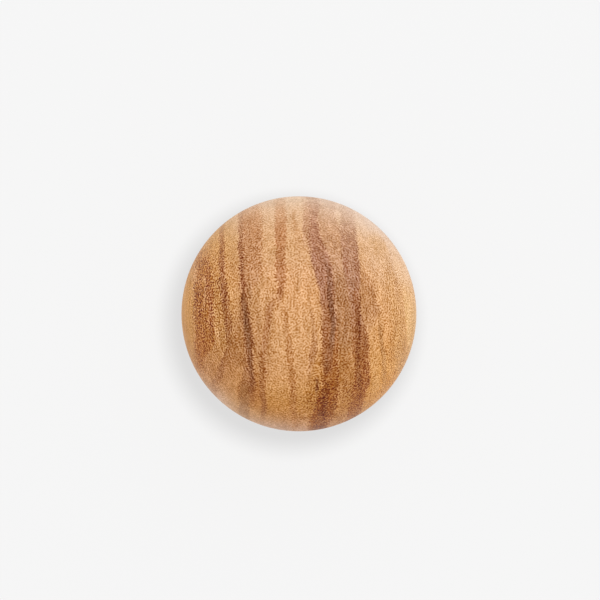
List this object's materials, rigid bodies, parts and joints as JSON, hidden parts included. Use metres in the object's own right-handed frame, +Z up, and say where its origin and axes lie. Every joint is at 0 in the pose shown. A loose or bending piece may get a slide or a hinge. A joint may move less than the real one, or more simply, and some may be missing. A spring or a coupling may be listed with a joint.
{
  "type": "wooden ball",
  "caption": "Solid wooden ball turned from one block, with straight striped grain and a smooth satin finish.",
  "frame": {"origin": "the centre of the ball", "axes": "+Z up from the surface that the ball lies on, which is towards the eye in the picture; +Y along the grain, up in the picture; +X across the growth rings, to the right in the picture"},
  "size_m": [0.05, 0.05, 0.05],
  "materials": {
    "wood": "satin"
  },
  "bodies": {
    "root": {"ball": "wood"}
  },
  "joints": []
}
